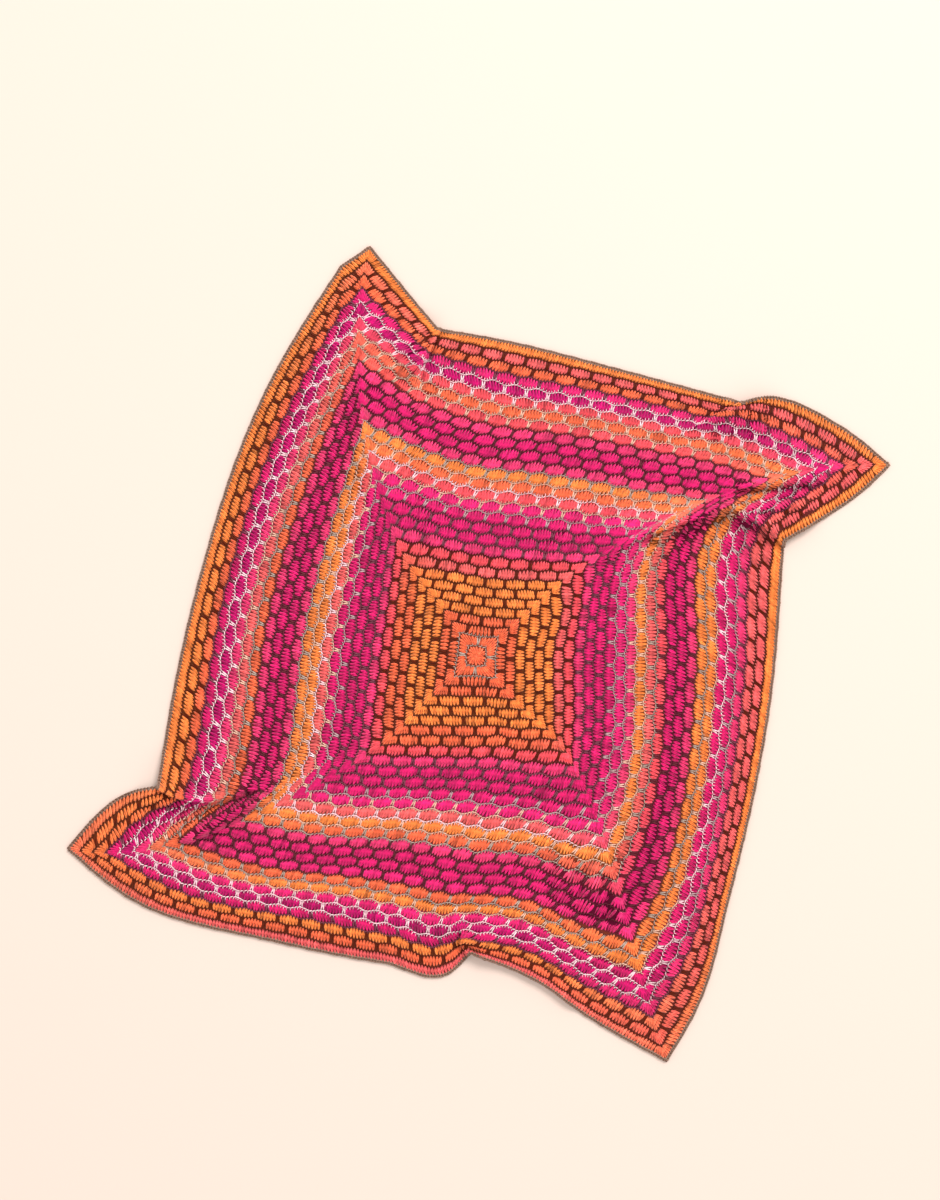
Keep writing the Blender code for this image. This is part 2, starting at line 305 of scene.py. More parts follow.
def through_pleat(form, along):
    """Way made and height lost after each length of cloth into a pleat."""
    turn, radius, run, cloth, way, height = form[:6]
    bend = radius * turn
    first = np.clip(along, 0.0, bend) / radius
    last = np.clip(cloth - along, 0.0, bend) / radius
    level = np.clip(along - bend, 0.0, run)
    over = along >= bend + run
    made = np.where(over, way - radius * np.sin(last),
                    radius * np.sin(first) + level * math.cos(turn))
    lost = np.where(over, height - radius * (1.0 - np.cos(last)),
                    radius * (1.0 - np.cos(first)) + level * math.sin(turn))
    return made + np.minimum(along, 0.0) + np.maximum(along - cloth, 0.0), lost


def ridge_height(x, y):
    """Height of the soft ridges and the creases at places on the floor."""
    total = np.zeros_like(x)
    for x0, y0, x1, y1, height, half_width in [ridge[1:] for ridge in RIDGES] + CREASES:
        run = np.array([x1 - x0, y1 - y0], float)
        place = np.clip(((x - x0) * run[0] + (y - y0) * run[1]) / run.dot(run), 0.0, 1.0)
        off = np.hypot(x - x0 - place * run[0], y - y0 - place * run[1]) / half_width
        total += height * np.clip(1.0 - off * off, 0.0, 1.0) ** 2
    return np.maximum(total, 0.0)


def anchor_list():
    """Corners and pleats, in order round the cloth: spoke index and pleat or None."""
    pleats = {pleat[0]: pleat for pleat in PLEATS}
    return [(index, pleats.get(spoke[0])) for index, spoke in enumerate(SPOKES)
            if spoke[0] in pleats or spoke[0].endswith("_tip")]


def anchor_turn(index, pleat, rounds):
    """The turn of a corner or a pleat in the cloth, and the cloth gathered inside it."""
    turn = spoke_turn(SPOKES[index], rounds)
    moved, gathered = GATHERS.get(SPOKES[index][0], (0.0, 0.0))
    if pleat is None or not gathered:
        return turn, 0.0
    start = pleat[2]
    grown = np.clip((rounds - start) / (ROUNDS - start), 0.0, 1.0)
    return turn + moved * grown, gathered * grown


def lay_round(rounds, turns):
    """Points of the middle of the cloth at these turns of one round, in millimetres."""
    line, length, at_spoke = round_path(rounds)
    side = side_length(rounds)
    turns = turns % 4.0
    breaks = []
    marks = []
    folds = []
    for index, pleat in anchor_list():
        turn, gathered = anchor_turn(index, pleat, rounds)
        if pleat is None:
            breaks.append(turn)
            marks.append(at_spoke[index])
            continue
        form = pleat_form(pleat, rounds)
        cloth, way, _, flat = form[3:]
        half = cloth / 2.0 + flat
        folds.append((pleat, form, turn, at_spoke[index], half / (half + gathered / 2.0)))
        for sign in (-1.0, 1.0):
            breaks.append(turn + sign * (half + gathered / 2.0) / side)
            marks.append(at_spoke[index] + sign * (way / 2.0 + flat))
    mark = np.interp(turns, breaks + [4.0], marks + [length[-1]])
    height = np.zeros_like(turns)
    for pleat, form, turn, middle, eased in folds:
        on_top, spread = pleat[1], pleat[7]
        cloth, way, rise, flat = form[3:]
        along = (turns - turn) * side * eased + cloth / 2.0
        inside = (along >= -flat) & (along <= cloth + flat)
        made, lost = through_pleat(form, along)
        mark = np.where(inside, middle - way / 2.0 + made, mark)
        gathered = (1.0 / eased - 1.0) * (cloth / 2.0 + flat)
        away = -(turns - turn) * on_top * side - cloth / 2.0
        away = np.where(away > flat, np.maximum(away - gathered, flat), away)
        beside = np.where(away >= 0.0, rise * (1.0 - smooth(away / spread)), 0.0)
        height += np.where(inside, rise - lost if on_top > 0 else lost, beside)
    x = np.interp(mark, length, line[:, 0])
    y = np.interp(mark, length, line[:, 1])
    far = np.maximum(np.hypot(x, y), 1e-6)
    ringed = (1.0 - smooth(rounds / RING_ROUNDS)) * (ROUND_TALL * rounds / far - 1.0) + 1.0
    x = x * ringed
    y = y * ringed
    return np.stack([x, y, THICKNESS / 2.0 + height + ridge_height(x, y)], axis=-1)


# Where the cloth lies, looked up at every fifth of a round and about every millimetre.
FIRST_ROUND = 0.1
ROUND_GAP = 0.2
LAST_ROUND = 30.9
SIDE_SAMPLES = 900
lie_rounds = np.arange(FIRST_ROUND, LAST_ROUND, ROUND_GAP)
lie_turns = np.arange(4 * SIDE_SAMPLES + 1) / SIDE_SAMPLES
lie_points = np.array([lay_round(rounds, lie_turns) for rounds in lie_rounds]) * MM
closed = lie_points[:, :-1]
lie_across = np.roll(closed, -1, axis=1) - np.roll(closed, 1, axis=1)
lie_across = np.concatenate([lie_across, lie_across[:, :1]], axis=1)
lie_outward = np.gradient(lie_points, axis=0)


def unit(vectors):
    """The same ways, each one long."""
    return vectors / np.maximum(np.linalg.norm(vectors, axis=-1, keepdims=True), 1e-12)


def look_up(table, rounds, turns):
    """Values of a table at any rounds and turns, between its own rows and columns."""
    row = np.clip((rounds - FIRST_ROUND) / ROUND_GAP, 0.0, len(table) - 1.001)
    column = (turns % 4.0) * SIDE_SAMPLES
    i = row.astype(int)
    j = column.astype(int)
    u = (row - i)[:, None]
    v = (column - j)[:, None]
    inner = table[i, j] * (1.0 - v) + table[i, j + 1] * v
    outer = table[i + 1, j] * (1.0 - v) + table[i + 1, j + 1] * v
    return inner * (1.0 - u) + outer * u


def lie(rounds, turns):
    """Points of the cloth, and the ways across and up at each."""
    points = look_up(lie_points, rounds, turns)
    across = unit(look_up(lie_across, rounds, turns))
    outward = unit(look_up(lie_outward, rounds, turns))
    return points, across, unit(np.cross(across, outward))


# Ground: the loops where the stitches pass through each other, in the middle of the cloth.
# It is one thin sheet on the same folds. On top its colour is painted shade for the gaps
# between the stitches: the blocks' colour darkened, lighter where the second yarn is pale.
# Underneath it has the blocks' colours.
GROUND_THICK = 0.0009
GROUND_START = 0.5
GROUND_STEP = 0.4
GROUND_END = 30.15
GROUND_ROUNDS = list(np.arange(GROUND_START, ROUNDS, GROUND_STEP)) + [GROUND_END]
GROUND_SPACING = 6.2
# Painted shade for the gaps between the stitches: the top of the ground is the blocks' colour
# darkened by these two, less where the second yarn is pale.
GROUND_SHADE = 0.13
GROUND_LIT = 0.18
PLEAT_STATIONS = 13
LEAST_STEPS = 2
SIDES = ("top", "right", "bottom", "left")
# The part of a side, between its middle and the next, in which the yarn changes colour.
CHANGE_START = 0.1875
CHANGE_END = 0.8125
# How the yarn looks: its surface, its least brightness, and the painted highlight
# on the tips of a strand.
YARN_ROUGHNESS = 0.85
BUMP_STRENGTH = 0.5
BUMP_DEPTH = 0.0003
LEAST_LEVEL = 0.66
HIGHLIGHT_START = 0.32
HIGHLIGHT_END = 0.5
HIGHLIGHT_COLOUR = (1.0, 0.62, 0.45, 1.0)
GROUND_SHEEN = 0.05
SHADES = {
    "A": (231, 127, 62),
    "O": (225, 101, 66),
    "C": (221, 93, 94),
    "R": (226, 77, 88),
    "P": (216, 53, 107),
    "F": (214, 34, 109),
    "M": (201, 25, 100),
    "D": (181, 11, 98),
    "S": (178, 160, 150),
    "B": (96, 32, 12),
    "G": (124, 66, 82),
    "N": (190, 160, 165),
    "W": (246, 210, 218),
    "K": (226, 184, 164),
    "T": (104, 44, 54),
    "E": (138, 110, 96),
}
# One letter for each round from the centre out: A amber, O orange, C coral, R rose, P pink,
# F fuchsia, M magenta, D deep magenta.
BLOCK_CHART = {
    "top": "OOOOAAAACRPMMMFROAPMMPRORDFOCA",
    "right": "OOOOAAAACRPMMMFPACRMMPAAMMPCCA",
    "bottom": "OOOOAAAOORPMMMFCAOPMMFOAFDMAOC",
    "left": "OOOOAAAOORPMMMMCAAPMMPOCPDMOAA",
}
# The second yarn, over each round: S stone, B dark brown, G mauve grey, N grey pink, W near
# white, K cream, T taupe, E the grey-brown of the edging.
THIN_CHART = {
    "top": "SSBBBBBBBBGGGNKWKSTTTTKKWWGBBE",
    "right": "SSBBBBBBBBGGGNNKKSTTTTSKWNGBBE",
    "bottom": "SSBBBBBBBBGGGNKWKSTTTTSKWWGBBE",
    "left": "SSBBBBBBBBGGGNKWKSTTTTSKWWGBBE",
}


def paint(rgb):
    """Linear colour of a paint given in display values up to 255."""
    value = np.array(rgb) / 255.0
    return np.where(value <= 0.04045, value / 12.92, ((value + 0.055) / 1.055) ** 2.4)


def chart_colours(chart):
    """Colour for each side and round of a chart."""
    return np.array([[paint(SHADES[letter]) for letter in chart[side]]
                     for side in SIDES])


def yarn_colour(colours, number, turns):
    """Colour of the yarn in a round at each turn: it changes slowly round the cloth."""
    place = turns - 0.5
    side = np.floor(place).astype(int) % 4
    way = (place - np.floor(place) - CHANGE_START) / (CHANGE_END - CHANGE_START)
    share = smooth(way)[:, None]
    row = np.clip(number, 1, ROUNDS) - 1
    return colours[side, row] * (1.0 - share) + colours[(side + 1) % 4, row] * share


block_dyes = chart_colours(BLOCK_CHART)
thin_dyes = chart_colours(THIN_CHART)


def ground_stations(rounds):
    """Turns of the mesh lines at a round: close through the pleats, wide elsewhere."""
    side = side_length(rounds)
    anchors = anchor_list()
    edges = []
    for index, pleat in anchors:
        turn, gathered = anchor_turn(index, pleat, rounds)
        half = 0.0
        if pleat:
            cloth, _, _, flat = pleat_form(pleat, rounds)[3:]
            half = (cloth / 2.0 + flat + gathered / 2.0) / side
        edges.append((turn - half, turn + half, pleat))
    turns = []
    for number, (start, end, pleat) in enumerate(edges):
        after, wrap = (number + 1) % len(edges), number + 1 == len(edges)
        begin_after = edges[after][0] + (4.0 if wrap else 0.0)
        if pleat:
            turns += list(np.linspace(start, end, PLEAT_STATIONS)[:-1])
        here, there = [SPOKES[anchors[place][0]][2] for place in (number, after)]
        span = (there - here) % 4.0 * side_length(ROUNDS)
        steps = max(LEAST_STEPS, round(span / GROUND_SPACING))
        turns += list(np.linspace(end, begin_after, steps + 1)[:-1])
    return np.array(turns)


def make_ground(yarns):
    rings = [lay_round(rounds, ground_stations(rounds)) * MM for rounds in GROUND_ROUNDS]
    count = len(rings[0])
    faces = [tuple(range(count - 1, -1, -1))]
    for ring in range(len(rings) - 1):
        inner = ring * count + np.arange(count)
        ahead = ring * count + (np.arange(count) + 1) % count
        faces += list(zip(inner, ahead, ahead + count, inner + count))
    mesh = bpy.data.meshes.new("ground")
    mesh.from_pydata(np.vstack(rings).tolist(), [], [tuple(map(int, face)) for face in faces])
    shaded_tints, under_tints = [], []
    for rounds in GROUND_ROUNDS:
        number = np.full(count, math.ceil(rounds))
        thin, block = [yarn_colour(dyes, number, ground_stations(rounds))
                       for dyes in (thin_dyes, block_dyes)]
        # Painted shade on the top: the blocks' colour darkened, less where the second yarn is pale.
        pale = thin.mean(axis=1, keepdims=True)
        shaded_tints.append(block * (GROUND_SHADE + GROUND_LIT * pale))
        under_tints.append(block)
    for name, rows in (("tint", shaded_tints), ("under_tint", under_tints)):
        colours = np.hstack([np.vstack(rows), np.ones((count * len(rings), 1))])
        layer = mesh.attributes.new(name, "FLOAT_COLOR", "POINT")
        layer.data.foreach_set("color", colours.ravel())
    for yarn in yarns:
        mesh.materials.append(yarn)
    mesh.shade_smooth()
    ground = bpy.data.objects.new("ground", mesh)
    bpy.context.scene.collection.objects.link(ground)
    shell = ground.modifiers.new("thickness", "SOLIDIFY")
    shell.thickness = GROUND_THICK
    shell.offset = -1.0
    shell.material_offset = 1
    return ground


def node(tree, kind, feeds=(), **settings):
    """A node with its settings, and a socket or a value into each named input."""
    made = tree.nodes.new(kind)
    for name, value in settings.items():
        setattr(made, name, value)
    for name, source in feeds:
        if isinstance(source, bpy.types.NodeSocket):
            tree.links.new(source, made.inputs[name])
        else:
            made.inputs[name].default_value = source
    return made


def sum_of(tree, operation, first, second=0.0):
    """The outcome of one sum on two sockets or values."""
    feeds = [(0, first), (1, second)]
    return node(tree, "ShaderNodeMath", feeds, operation=operation).outputs[0]


def yarn_tone_group():
    """Colour and height of spun yarn: plies along a strand, loose fibre, painted highlight on the
    tips.
    """
    tree = bpy.data.node_groups.new("yarn_tone", "ShaderNodeTree")
    face = tree.interface
    sizes = [("Ply count", 7.0), ("Ply contrast", 0.16), ("Tip highlight", 0.2),
             ("Fibre scale", 900.0), ("Fibre contrast", 0.4)]
    face.new_socket("Tint", in_out="INPUT", socket_type="NodeSocketColor")
    for label, value in sizes:
        face.new_socket(label, in_out="INPUT", socket_type="NodeSocketFloat").default_value = value
    face.new_socket("Colour", in_out="OUTPUT", socket_type="NodeSocketColor")
    face.new_socket("Height", in_out="OUTPUT", socket_type="NodeSocketFloat")
    given = tree.nodes.new("NodeGroupInput").outputs
    place = node(tree, "ShaderNodeAttribute", attribute_name="strand").outputs["Vector"]
    parts = node(tree, "ShaderNodeSeparateXYZ", [(0, place)])
    turned = sum_of(tree, "MULTIPLY", parts.outputs[0], given["Ply count"])
    ply = sum_of(tree, "PINGPONG", turned, 1.0)
    where = node(tree, "ShaderNodeTexCoord").outputs["Object"]
    fibre = node(tree, "ShaderNodeTexNoise", [("Vector", where), ("Scale", given["Fibre scale"]),
                                              ("Detail", 2.0), ("Roughness", 0.6)]).outputs["Fac"]
    ply_tone = sum_of(tree, "MULTIPLY", ply, given["Ply contrast"])
    fibre_tone = sum_of(tree, "MULTIPLY", fibre, given["Fibre contrast"])
    level = sum_of(tree, "ADD", sum_of(tree, "ADD", ply_tone, fibre_tone), LEAST_LEVEL)
    lit = node(tree, "ShaderNodeVectorMath", [(0, given["Tint"]), ("Scale", level)],
               operation="SCALE").outputs[0]
    reach = sum_of(tree, "ABSOLUTE", sum_of(tree, "SUBTRACT", parts.outputs[0], 0.5))
    # Painted highlight: the ends of each strand are mixed towards a pale peach.
    highlight = node(tree, "ShaderNodeMapRange",
               [("Value", reach), ("From Min", HIGHLIGHT_START), ("From Max", HIGHLIGHT_END),
                ("To Max", given["Tip highlight"])]).outputs[0]
    mixed = node(tree, "ShaderNodeMix", [("Factor", highlight), (6, lit), (7, HIGHLIGHT_COLOUR)],
                 data_type="RGBA").outputs[2]
    bumps = sum_of(tree, "ADD", ply, fibre)
    out = tree.nodes.new("NodeGroupOutput")
    tree.links.new(mixed, out.inputs["Colour"])
    tree.links.new(bumps, out.inputs["Height"])
    return tree


yarn_tone = yarn_tone_group()


def yarn_material(name, colours, tip_highlight, ply_contrast, sheen):
    """Matt spun yarn, coloured by the attribute named in colours."""
    made = bpy.data.materials.new(name)
    made.use_nodes = True
    tree = made.node_tree
    surface = tree.nodes["Principled BSDF"]
    tint = node(tree, "ShaderNodeAttribute", attribute_name=colours).outputs["Color"]
    tone = node(tree, "ShaderNodeGroup", node_tree=yarn_tone)
    # Strength of the painted highlight on the tips of the strands.
    tone.inputs["Tip highlight"].default_value = tip_highlight
    tone.inputs["Ply contrast"].default_value = ply_contrast
    tree.links.new(tint, tone.inputs["Tint"])
    tree.links.new(tone.outputs["Colour"], surface.inputs["Base Color"])
    bump = node(tree, "ShaderNodeBump", [("Strength", BUMP_STRENGTH), ("Distance", BUMP_DEPTH),
                                         ("Height", tone.outputs["Height"])])
    tree.links.new(bump.outputs["Normal"], surface.inputs["Normal"])
    surface.inputs["Roughness"].default_value = YARN_ROUGHNESS
    surface.inputs["Specular IOR Level"].default_value = sheen
    surface.inputs["Sheen Weight"].default_value = sheen
    return made


# The ground's top shows its painted shade from the tint, and its underside shows the blocks'
# colours.
ground_yarn = yarn_material("ground_yarn", "tint", 0.0, 0.0, GROUND_SHEEN)
under_yarn = yarn_material("under_yarn", "under_tint", 0.0, 0.0, GROUND_SHEEN)
ground = make_ground([ground_yarn, under_yarn])


# Blocks: rows of double crochet in a gradient yarn, six to a block, with each round's
# blocks half a block off the round before. A corner block is a fan of ten. Each stitch is
# two strands that cross and close at both ends.
POSTS_IN_BLOCK = 6
POST_PITCH = 3.9
CORNER_POSTS = 10
CORNER_ARM = 20.0
CORNER_GAP = 2.4
CORNER_ARM_LEAST = 2.0
CENTRE_POSTS = 18
CENTRE_INNER = 0.1
CENTRE_OUTER = 0.9
LINE_HALF = 0.5
POST_OVERLAP = 0.001
POST_LENGTH = 0.0115
POST_SIZES = [("Post length", POST_LENGTH), ("Strand radius", 0.0014), ("Strand gap", 0.00095),
              ("Crossing", 3.6)]
POST_STEPS = 5
STRAND_SIDES = 3
STRAND_WELD = 0.00002
POST_START = 0.35
POST_SPREAD = 0.8
POST_TAPER = 0.35
POST_HIGH = 0.78
POST_LEAN = 0.05
POST_WIDTH_VARIES = 0.04
CENTRE_WIDE = 1.05
CENTRE_OVERLAP = 3.0
BLOCK_VARIES = 0.05
STITCH_VARIES = 0.14
# Painted highlight on the tips of the block stitches.
BLOCK_TIP_HIGHLIGHT = 0.32
BLOCK_PLIES = 0.3
BLOCK_SHEEN = 0.12
DYE_LOTS = 997
HEM_POSTS = 7
FLOOR_GAP = 0.00005
WAVE_ROUNDS = [1, 6, 12, 26, 28, 30]
WAVE_HEIGHT = [0.3, 0.8, 1.6, 1.6, 1.1, 0.2]
rng = np.random.default_rng(30)


def wave(number, offset, to_corner):
    """How far the line over a round swings out, in rounds: out over each block, in between
    them. offset is from the middle of the side."""
    height = np.interp(number, WAVE_ROUNDS, WAVE_HEIGHT) / ROUND_TALL
    along = np.cos(2.0 * math.pi * offset / BRICK_PITCH - math.pi * (number - 3))
    corner = np.cos(math.pi * np.minimum(to_corner, CORNER_ARM) / CORNER_ARM)
    return height * np.where(to_corner < CORNER_ARM, corner, along)


def at_offset(side, number, offset):
    """The turn of a place on a side of a round, from its offset from the side's middle."""
    return side + 0.5 + offset / side_length(number)


def side_posts(side):
    """Bottom and top of each double crochet of one side: rounds, turns and block number."""
    rows = []
    if side == 0:
        for post in range(CENTRE_POSTS):
            turn = 4.0 * post / CENTRE_POSTS
            rows.append((1, CENTRE_INNER, turn, CENTRE_OUTER, turn, -1))
    for number in range(2, ROUNDS + 1):
        half_in = side_length(number - 1) / 2.0
        half_out = side_length(number) / 2.0
        share = (np.arange(CORNER_POSTS) + 0.5) / CORNER_POSTS * 2.0 - 1.0
        arm_in = max(CORNER_ARM - BRICK_PITCH / 2.0, CORNER_ARM_LEAST)
        for place in share * (1.0 - CORNER_GAP / CORNER_ARM):
            bottom = abs(place) * arm_in
            top = abs(place) * CORNER_ARM
            low = number - 1 + wave(number - 1, half_in - bottom, bottom) + LINE_HALF / ROUND_TALL
            high = number + wave(number, half_out - top, top) - LINE_HALF / ROUND_TALL
            rows.append((number, low, side + place * arm_in / half_in / 2.0, high,
                         side + place * CORNER_ARM / half_out / 2.0, 0))
        for block in range(number - 2):
            middle = (block - (number - 3) / 2.0) * BRICK_PITCH
            posts, pitch = POSTS_IN_BLOCK, POST_PITCH
            if number == ROUNDS:
                posts, pitch = HEM_POSTS, BRICK_PITCH / HEM_POSTS
            for post in range(posts):
                offset = middle + (post - (posts - 1) / 2.0) * pitch
                low = number - 1 + wave(number - 1, offset, half_in - abs(offset))
                high = number + wave(number, offset, half_out - abs(offset))
                rows.append((number, low + LINE_HALF / ROUND_TALL,
                             at_offset(side, number - 1, offset),
                             high - LINE_HALF / ROUND_TALL,
                             at_offset(side, number, offset), block + 1))
    return np.array(rows)


def place_group():
    """A group that sets a stitch on every point, turned and stretched as the point says."""
    tree = bpy.data.node_groups.new("set_stitches", "GeometryNodeTree")
    face = tree.interface
    face.new_socket("Points", in_out="INPUT", socket_type="NodeSocketGeometry")
    face.new_socket("Stitch", in_out="INPUT", socket_type="NodeSocketGeometry")
    face.new_socket("Yarn", in_out="INPUT", socket_type="NodeSocketMaterial")
    face.new_socket("Geometry", in_out="OUTPUT", socket_type="NodeSocketGeometry")
    given = tree.nodes.new("NodeGroupInput").outputs
    ways = []
    for name in ("along", "up", "stretch"):
        ways.append(node(tree, "GeometryNodeInputNamedAttribute", [("Name", name)],
                         data_type="FLOAT_VECTOR").outputs["Attribute"])
    turned = node(tree, "FunctionNodeAxesToRotation", [(0, ways[0]), (1, ways[1])],
                  primary_axis="Y", secondary_axis="Z").outputs[0]
    set_down = node(tree, "GeometryNodeInstanceOnPoints",
                    [("Points", given["Points"]), ("Instance", given["Stitch"]),
                     ("Rotation", turned), ("Scale", ways[2])]).outputs[0]
    real = node(tree, "GeometryNodeRealizeInstances", [("Geometry", set_down)]).outputs[0]
    soft = node(tree, "GeometryNodeSetShadeSmooth", [("Geometry", real)]).outputs[0]
    dyed = node(tree, "GeometryNodeSetMaterial", [("Geometry", soft), ("Material", given["Yarn"])])
    out = tree.nodes.new("NodeGroupOutput")
    tree.links.new(dyed.outputs[0], out.inputs[0])
    return tree


set_stitches = place_group()


def start_tree(name, sizes):
    """A tree of the modifier kind with named sizes and the yarn. Returns it and its inputs."""
    tree = bpy.data.node_groups.new(name, "GeometryNodeTree")
    face = tree.interface
    face.new_socket("Geometry", in_out="INPUT", socket_type="NodeSocketGeometry")
    for label, value in sizes:
        face.new_socket(label, in_out="INPUT", socket_type="NodeSocketFloat").default_value = value
    face.new_socket("Yarn", in_out="INPUT", socket_type="NodeSocketMaterial")
    face.new_socket("Geometry", in_out="OUTPUT", socket_type="NodeSocketGeometry")
    return tree, tree.nodes.new("NodeGroupInput").outputs


def add_strand(tree, x, y, z, radius, steps):
    """One strand of yarn: a tube through x, y, z, closed to a point at both ends."""
    line = node(tree, "GeometryNodeCurvePrimitiveLine").outputs[0]
    points = node(tree, "GeometryNodeResampleCurve",
                  [("Curve", line), ("Count", steps)]).outputs[0]
    t = node(tree, "GeometryNodeSplineParameter").outputs["Factor"]
    marked = node(tree, "ShaderNodeCombineXYZ", [("X", t)]).outputs[0]
    kept = node(tree, "GeometryNodeStoreNamedAttribute",
                [("Geometry", points), ("Name", "strand"), ("Value", marked)],
                data_type="FLOAT_VECTOR", domain="POINT").outputs[0]
    place = node(tree, "ShaderNodeCombineXYZ", [("X", x), ("Y", y), ("Z", z)]).outputs[0]
    bent = node(tree, "GeometryNodeSetPosition",
                [("Geometry", kept), ("Position", place)]).outputs[0]
    ring = node(tree, "GeometryNodeCurvePrimitiveCircle",
                [("Resolution", STRAND_SIDES), ("Radius", 1.0)]).outputs[0]
    tube = node(tree, "GeometryNodeCurveToMesh",
                [("Curve", bent), ("Profile Curve", ring), ("Scale", radius)]).outputs[0]
    return node(tree, "GeometryNodeMergeByDistance",
                [("Geometry", tube), ("Distance", STRAND_WELD)]).outputs[0]


def end_tree(tree, strands, given):
    """Joins the strands of a stitch and sets it on every point."""
    both = tree.nodes.new("GeometryNodeJoinGeometry")
    for strand in strands:
        tree.links.new(strand, both.inputs[0])
    done = node(tree, "GeometryNodeGroup", node_tree=set_stitches)
    tree.links.new(given["Geometry"], done.inputs["Points"])
    tree.links.new(both.outputs[0], done.inputs["Stitch"])
    tree.links.new(given["Yarn"], done.inputs["Yarn"])
    out = tree.nodes.new("NodeGroupOutput")
    tree.links.new(done.outputs[0], out.inputs[0])
    return tree


def swelling(tree, power):
    """0 at both ends of a strand and 1 in its middle. A low power gives blunt ends."""
    t = node(tree, "GeometryNodeSplineParameter").outputs["Factor"]
    arch = sum_of(tree, "SINE", sum_of(tree, "MULTIPLY", t, math.pi))
    return sum_of(tree, "POWER", sum_of(tree, "MAXIMUM", arch, 0.0), power)


def post_tree():
    """A double crochet: two strands that cross on their way up."""
    tree, given = start_tree("double_crochet", POST_SIZES)
    t = node(tree, "GeometryNodeSplineParameter").outputs["Factor"]
    middle = sum_of(tree, "SUBTRACT", t, 0.5)
    spread = sum_of(tree, "MULTIPLY", swelling(tree, POST_SPREAD), given["Strand gap"])
    angle = sum_of(tree, "MULTIPLY", middle, given["Crossing"])
    blunt = sum_of(tree, "SINE", sum_of(tree, "MULTIPLY", middle, math.pi))
    half = sum_of(tree, "MULTIPLY", given["Post length"], 0.5)
    y = sum_of(tree, "MULTIPLY", blunt, half)
    radius = sum_of(tree, "MULTIPLY", swelling(tree, POST_TAPER), given["Strand radius"])
    strands = []
    for number in (0, 1):
        turned = sum_of(tree, "ADD", angle, math.pi * number + POST_START)
        x = sum_of(tree, "MULTIPLY", spread, sum_of(tree, "COSINE", turned))
        z = sum_of(tree, "MULTIPLY", spread, sum_of(tree, "SINE", turned))
        strands.append(add_strand(tree, x, y, z, radius, POST_STEPS))
    return end_tree(tree, strands, given)


def work_stitches(name, tree, sizes, material, points, along, up, stretch, tint):
    """Works a stitch at each point and gives the finished piece as a plain mesh."""
    mesh = bpy.data.meshes.new(name + "_points")
    mesh.from_pydata(points.tolist(), [], [])
    for label, values in (("along", along), ("up", up), ("stretch", stretch)):
        kept = mesh.attributes.new(label, "FLOAT_VECTOR", "POINT")
        kept.data.foreach_set("vector", np.ascontiguousarray(values, dtype=np.float32).ravel())
    colour = np.hstack([np.clip(tint, 0.0, 1.0), np.ones((len(tint), 1))]).astype(np.float32)
    mesh.attributes.new("tint", "FLOAT_COLOR", "POINT").data.foreach_set("color", colour.ravel())
    maker = bpy.data.objects.new(name + "_points", mesh)
    bpy.context.scene.collection.objects.link(maker)
    work = maker.modifiers.new("stitches", "NODES")
    work.node_group = tree
    sockets = {item.name: item.identifier for item in tree.interface.items_tree
               if item.item_type == "SOCKET" and item.in_out == "INPUT"}
    for label, value in sizes:
        work[sockets[label]] = value
    work[sockets["Yarn"]] = material
    graph = bpy.context.evaluated_depsgraph_get()
    finished = bpy.data.meshes.new_from_object(maker.evaluated_get(graph),
                                               preserve_all_data_layers=True, depsgraph=graph)
    finished.name = name
    bpy.data.objects.remove(maker, do_unlink=True)
    bpy.data.meshes.remove(mesh)
    for label in ("along", "up", "stretch"):
        if label in finished.attributes:
            finished.attributes.remove(finished.attributes[label])
    places = np.zeros(len(finished.vertices) * 3, dtype=np.float32)
    finished.vertices.foreach_get("co", places)
    places[2::3] = np.maximum(places[2::3], FLOOR_GAP)
    finished.vertices.foreach_set("co", places)
    finished.update()
    piece = bpy.data.objects.new(name, finished)
    bpy.context.scene.collection.objects.link(piece)
    return piece


def dye(colours, number, turns, block, spread, each):
    """Tint of each stitch: the charted yarn, a little lighter or darker from block to block
    and from stitch to stitch."""
    tint = yarn_colour(colours, number, turns)
    lot = (number * 41 + block * 7 + np.floor(turns) * 13).astype(int) % DYE_LOTS
    by_block = np.random.default_rng(7).normal(0.0, spread, DYE_LOTS)[lot]
    by_stitch = rng.normal(0.0, each, len(turns))
    return tint * (1.0 + by_block + by_stitch)[:, None]


def make_blocks(side):
    rows = side_posts(side)
    number = rows[:, 0].astype(int)
    low = lie(rows[:, 1], rows[:, 2])[0]
    high = lie(rows[:, 3], rows[:, 4])[0]
    middle_round = (rows[:, 1] + rows[:, 3]) / 2.0
    middle_turn = (rows[:, 2] + rows[:, 4]) / 2.0
    centre, across, up = lie(middle_round, middle_turn)
    tall = np.linalg.norm(high - low, axis=1)
    along = unit(high - low) + across * rng.normal(0.0, POST_LEAN, len(rows))[:, None]
    width = rng.normal(1.0, POST_WIDTH_VARIES, len(rows))
    width = np.where(number == 1, CENTRE_WIDE, 1.0) * width
    reach = np.where(number == 1, CENTRE_OVERLAP, 1.0) * POST_OVERLAP
    stretch = np.stack([width, (tall + reach) / POST_LENGTH,
                        np.full(len(rows), POST_HIGH)], axis=1)
    tint = dye(block_dyes, number, middle_turn, rows[:, 5], BLOCK_VARIES, STITCH_VARIES)
    return work_stitches("blocks_" + SIDES[side], post, POST_SIZES, block_yarn,
                         centre, along, up, stretch, tint)


block_yarn = yarn_material("block_yarn", "tint", BLOCK_TIP_HIGHLIGHT, BLOCK_PLIES, BLOCK_SHEEN)
post = post_tree()
blocks = [make_blocks(side) for side in range(4)]


